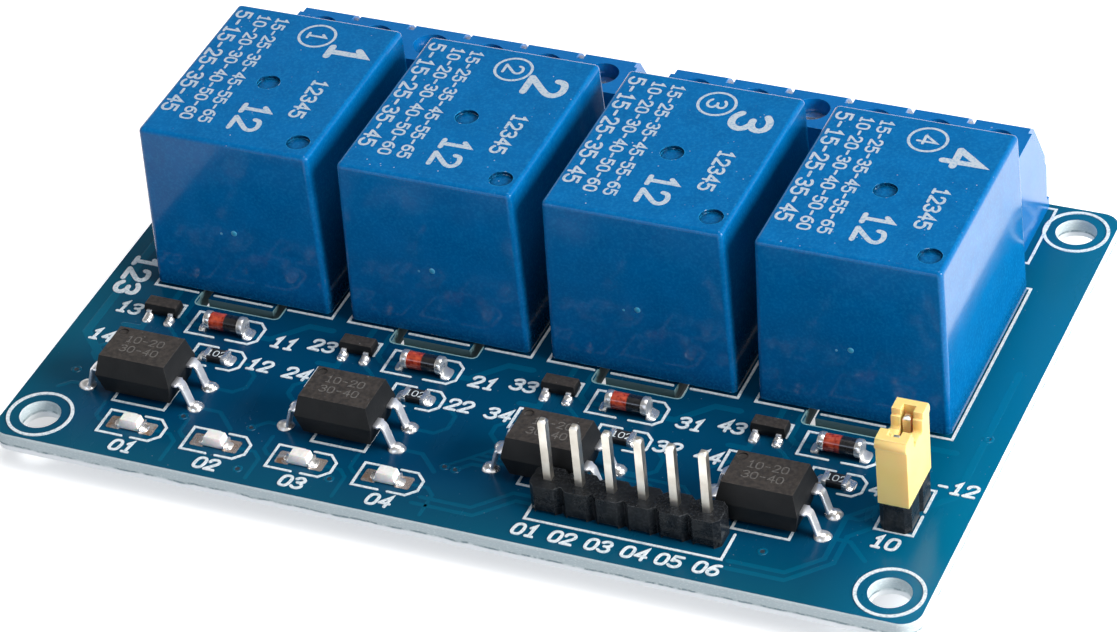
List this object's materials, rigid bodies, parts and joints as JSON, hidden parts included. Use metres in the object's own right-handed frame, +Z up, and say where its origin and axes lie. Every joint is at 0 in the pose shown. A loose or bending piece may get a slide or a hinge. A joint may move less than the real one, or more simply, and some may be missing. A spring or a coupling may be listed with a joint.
{
  "type": "relay module board",
  "caption": "Blue circuit board that switches mains-size loads from logic signals: cube relays, rear screw terminals, front pin header, optocouplers and a jumper cap.",
  "frame": {"origin": "centre of the four mounting holes, on the underside of the board", "axes": "+X along the board's long side, +Y from the signal header edge to the screw terminals, +Z up from the board's underside to the parts"},
  "size_m": [0.076, 0.051, 0.0188],
  "materials": {
    "board_laminate": "blue solder mask over glass laminate, satin gloss",
    "relay_plastic": "moulded blue plastic, fine satin grain",
    "terminal_plastic": "moulded bright blue plastic, satin",
    "relay_base_resin": "black moulded base with sealing resin",
    "bobbin_plastic": "natural moulded plastic",
    "copper_wire": "lacquered copper wire",
    "relay_iron": "plated iron",
    "contact_brass": "spring brass",
    "tinned_metal": "tinned copper alloy, satin",
    "header_plastic": "black moulded plastic",
    "pin_metal": "tinned square pins",
    "cap_plastic": "pale yellow moulded plastic",
    "chip_resin": "moulded epoxy, matt with a grey-brown bloom",
    "diode_glass": "red-orange glass with a black band",
    "resistor_coat": "black glazed coat",
    "led_resin": "clear and white moulded resin",
    "cage_metal": "plated steel",
    "screw_metal": "zinc plated steel",
    "solder": "bright solder"
  },
  "bodies": {
    "board": {"circuit_board": "board_laminate", "relay_case_1": "relay_plastic", "relay_case_2": "relay_plastic", "relay_case_3": "relay_plastic", "relay_case_4": "relay_plastic", "relay_bases": "relay_base_resin", "relay_bobbins": "bobbin_plastic", "relay_windings": "copper_wire", "relay_cores": "relay_iron", "relay_yokes": "relay_iron", "relay_contact_tabs": "contact_brass", "relay_coil_pins": "tinned_metal", "terminal_block_1": "terminal_plastic", "terminal_block_2": "terminal_plastic", "terminal_block_3": "terminal_plastic", "terminal_block_4": "terminal_plastic", "terminal_contacts": "tinned_metal", "signal_header_housing": "header_plastic", "supply_header_housing": "header_plastic", "header_pins": "pin_metal", "optocoupler_bodies": "chip_resin", "optocoupler_leads": "tinned_metal", "transistor_bodies": "chip_resin", "transistor_leads": "tinned_metal", "diode_tubes": "diode_glass", "diode_caps": "tinned_metal", "resistor_bodies": "resistor_coat", "led_bodies": "led_resin", "chip_ends": "tinned_metal", "solder_joints": "solder"},
    "armature_1": {"relay_armature_1": "relay_iron"},
    "armature_2": {"relay_armature_2": "relay_iron"},
    "armature_3": {"relay_armature_3": "relay_iron"},
    "armature_4": {"relay_armature_4": "relay_iron"},
    "screw_1": {"clamp_screw_1": "screw_metal"},
    "cage_1": {"wire_cage_1": "cage_metal"},
    "screw_2": {"clamp_screw_2": "screw_metal"},
    "cage_2": {"wire_cage_2": "cage_metal"},
    "screw_3": {"clamp_screw_3": "screw_metal"},
    "cage_3": {"wire_cage_3": "cage_metal"},
    "screw_4": {"clamp_screw_4": "screw_metal"},
    "cage_4": {"wire_cage_4": "cage_metal"},
    "screw_5": {"clamp_screw_5": "screw_metal"},
    "cage_5": {"wire_cage_5": "cage_metal"},
    "screw_6": {"clamp_screw_6": "screw_metal"},
    "cage_6": {"wire_cage_6": "cage_metal"},
    "screw_7": {"clamp_screw_7": "screw_metal"},
    "cage_7": {"wire_cage_7": "cage_metal"},
    "screw_8": {"clamp_screw_8": "screw_metal"},
    "cage_8": {"wire_cage_8": "cage_metal"},
    "screw_9": {"clamp_screw_9": "screw_metal"},
    "cage_9": {"wire_cage_9": "cage_metal"},
    "screw_10": {"clamp_screw_10": "screw_metal"},
    "cage_10": {"wire_cage_10": "cage_metal"},
    "screw_11": {"clamp_screw_11": "screw_metal"},
    "cage_11": {"wire_cage_11": "cage_metal"},
    "screw_12": {"clamp_screw_12": "screw_metal"},
    "cage_12": {"wire_cage_12": "cage_metal"},
    "jumper": {"jumper_cap": "cap_plastic", "jumper_contact": "contact_brass"}
  },
  "joints": [
    {"name": "armature_1_pull", "type": "hinge", "parent": "board", "child": "armature_1", "pos_m": [-0.02591, -0.00225, 0.01355], "axis": [-1, 0, 0], "range_deg": [0, 3], "stiffness_Nm_per_rad": 0.01, "springref_deg": -5.73},
    {"name": "armature_2_pull", "type": "hinge", "parent": "board", "child": "armature_2", "pos_m": [-0.00864, -0.00225, 0.01355], "axis": [-1, 0, 0], "range_deg": [0, 3], "stiffness_Nm_per_rad": 0.01, "springref_deg": -5.73},
    {"name": "armature_3_pull", "type": "hinge", "parent": "board", "child": "armature_3", "pos_m": [0.00864, -0.00225, 0.01355], "axis": [-1, 0, 0], "range_deg": [0, 3], "stiffness_Nm_per_rad": 0.01, "springref_deg": -5.73},
    {"name": "armature_4_pull", "type": "hinge", "parent": "board", "child": "armature_4", "pos_m": [0.02591, -0.00225, 0.01355], "axis": [-1, 0, 0], "range_deg": [0, 3], "stiffness_Nm_per_rad": 0.01, "springref_deg": -5.73},
    {"name": "screw_1_turn", "type": "hinge", "parent": "board", "child": "screw_1", "pos_m": [-0.02939, 0.01965, 0.0096], "axis": [0, 0, -1], "range_deg": [0, 1512.1]},
    {"name": "cage_1_lift", "type": "slide", "parent": "board", "child": "cage_1", "axis": [0, 0, 1], "range_m": [0, 0.0021]},
    {"name": "screw_2_turn", "type": "hinge", "parent": "board", "child": "screw_2", "pos_m": [-0.02431, 0.01965, 0.0096], "axis": [0, 0, -1], "range_deg": [0, 1512.1]},
    {"name": "cage_2_lift", "type": "slide", "parent": "board", "child": "cage_2", "axis": [0, 0, 1], "range_m": [0, 0.0021]},
    {"name": "screw_3_turn", "type": "hinge", "parent": "board", "child": "screw_3", "pos_m": [-0.01923, 0.01965, 0.0096], "axis": [0, 0, -1], "range_deg": [0, 1512.1]},
    {"name": "cage_3_lift", "type": "slide", "parent": "board", "child": "cage_3", "axis": [0, 0, 1], "range_m": [0, 0.0021]},
    {"name": "screw_4_turn", "type": "hinge", "parent": "board", "child": "screw_4", "pos_m": [-0.01415, 0.01965, 0.0096], "axis": [0, 0, -1], "range_deg": [0, 1512.1]},
    {"name": "cage_4_lift", "type": "slide", "parent": "board", "child": "cage_4", "axis": [0, 0, 1], "range_m": [0, 0.0021]},
    {"name": "screw_5_turn", "type": "hinge", "parent": "board", "child": "screw_5", "pos_m": [-0.00907, 0.01965, 0.0096], "axis": [0, 0, -1], "range_deg": [0, 1512.1]},
    {"name": "cage_5_lift", "type": "slide", "parent": "board", "child": "cage_5", "axis": [0, 0, 1], "range_m": [0, 0.0021]},
    {"name": "screw_6_turn", "type": "hinge", "parent": "board", "child": "screw_6", "pos_m": [-0.00399, 0.01965, 0.0096], "axis": [0, 0, -1], "range_deg": [0, 1512.1]},
    {"name": "cage_6_lift", "type": "slide", "parent": "board", "child": "cage_6", "axis": [0, 0, 1], "range_m": [0, 0.0021]},
    {"name": "screw_7_turn", "type": "hinge", "parent": "board", "child": "screw_7", "pos_m": [0.00399, 0.01965, 0.0096], "axis": [0, 0, -1], "range_deg": [0, 1512.1]},
    {"name": "cage_7_lift", "type": "slide", "parent": "board", "child": "cage_7", "axis": [0, 0, 1], "range_m": [0, 0.0021]},
    {"name": "screw_8_turn", "type": "hinge", "parent": "board", "child": "screw_8", "pos_m": [0.00907, 0.01965, 0.0096], "axis": [0, 0, -1], "range_deg": [0, 1512.1]},
    {"name": "cage_8_lift", "type": "slide", "parent": "board", "child": "cage_8", "axis": [0, 0, 1], "range_m": [0, 0.0021]},
    {"name": "screw_9_turn", "type": "hinge", "parent": "board", "child": "screw_9", "pos_m": [0.01415, 0.01965, 0.0096], "axis": [0, 0, -1], "range_deg": [0, 1512.1]},
    {"name": "cage_9_lift", "type": "slide", "parent": "board", "child": "cage_9", "axis": [0, 0, 1], "range_m": [0, 0.0021]},
    {"name": "screw_10_turn", "type": "hinge", "parent": "board", "child": "screw_10", "pos_m": [0.01923, 0.01965, 0.0096], "axis": [0, 0, -1], "range_deg": [0, 1512.1]},
    {"name": "cage_10_lift", "type": "slide", "parent": "board", "child": "cage_10", "axis": [0, 0, 1], "range_m": [0, 0.0021]},
    {"name": "screw_11_turn", "type": "hinge", "parent": "board", "child": "screw_11", "pos_m": [0.02431, 0.01965, 0.0096], "axis": [0, 0, -1], "range_deg": [0, 1512.1]},
    {"name": "cage_11_lift", "type": "slide", "parent": "board", "child": "cage_11", "axis": [0, 0, 1], "range_m": [0, 0.0021]},
    {"name": "screw_12_turn", "type": "hinge", "parent": "board", "child": "screw_12", "pos_m": [0.02939, 0.01965, 0.0096], "axis": [0, 0, -1], "range_deg": [0, 1512.1]},
    {"name": "cage_12_lift", "type": "slide", "parent": "board", "child": "cage_12", "axis": [0, 0, 1], "range_m": [0, 0.0021]},
    {"name": "jumper_pull", "type": "slide", "parent": "board", "child": "jumper", "axis": [0, 0, 1], "range_m": [0, 0.0075]}
  ],
  "couplings": [
    {"joint": "screw_1_turn", "follows": "cage_1_lift", "rad_per_m": 12566},
    {"joint": "screw_2_turn", "follows": "cage_2_lift", "rad_per_m": 12566},
    {"joint": "screw_3_turn", "follows": "cage_3_lift", "rad_per_m": 12566},
    {"joint": "screw_4_turn", "follows": "cage_4_lift", "rad_per_m": 12566},
    {"joint": "screw_5_turn", "follows": "cage_5_lift", "rad_per_m": 12566},
    {"joint": "screw_6_turn", "follows": "cage_6_lift", "rad_per_m": 12566},
    {"joint": "screw_7_turn", "follows": "cage_7_lift", "rad_per_m": 12566},
    {"joint": "screw_8_turn", "follows": "cage_8_lift", "rad_per_m": 12566},
    {"joint": "screw_9_turn", "follows": "cage_9_lift", "rad_per_m": 12566},
    {"joint": "screw_10_turn", "follows": "cage_10_lift", "rad_per_m": 12566},
    {"joint": "screw_11_turn", "follows": "cage_11_lift", "rad_per_m": 12566},
    {"joint": "screw_12_turn", "follows": "cage_12_lift", "rad_per_m": 12566}
  ]
}
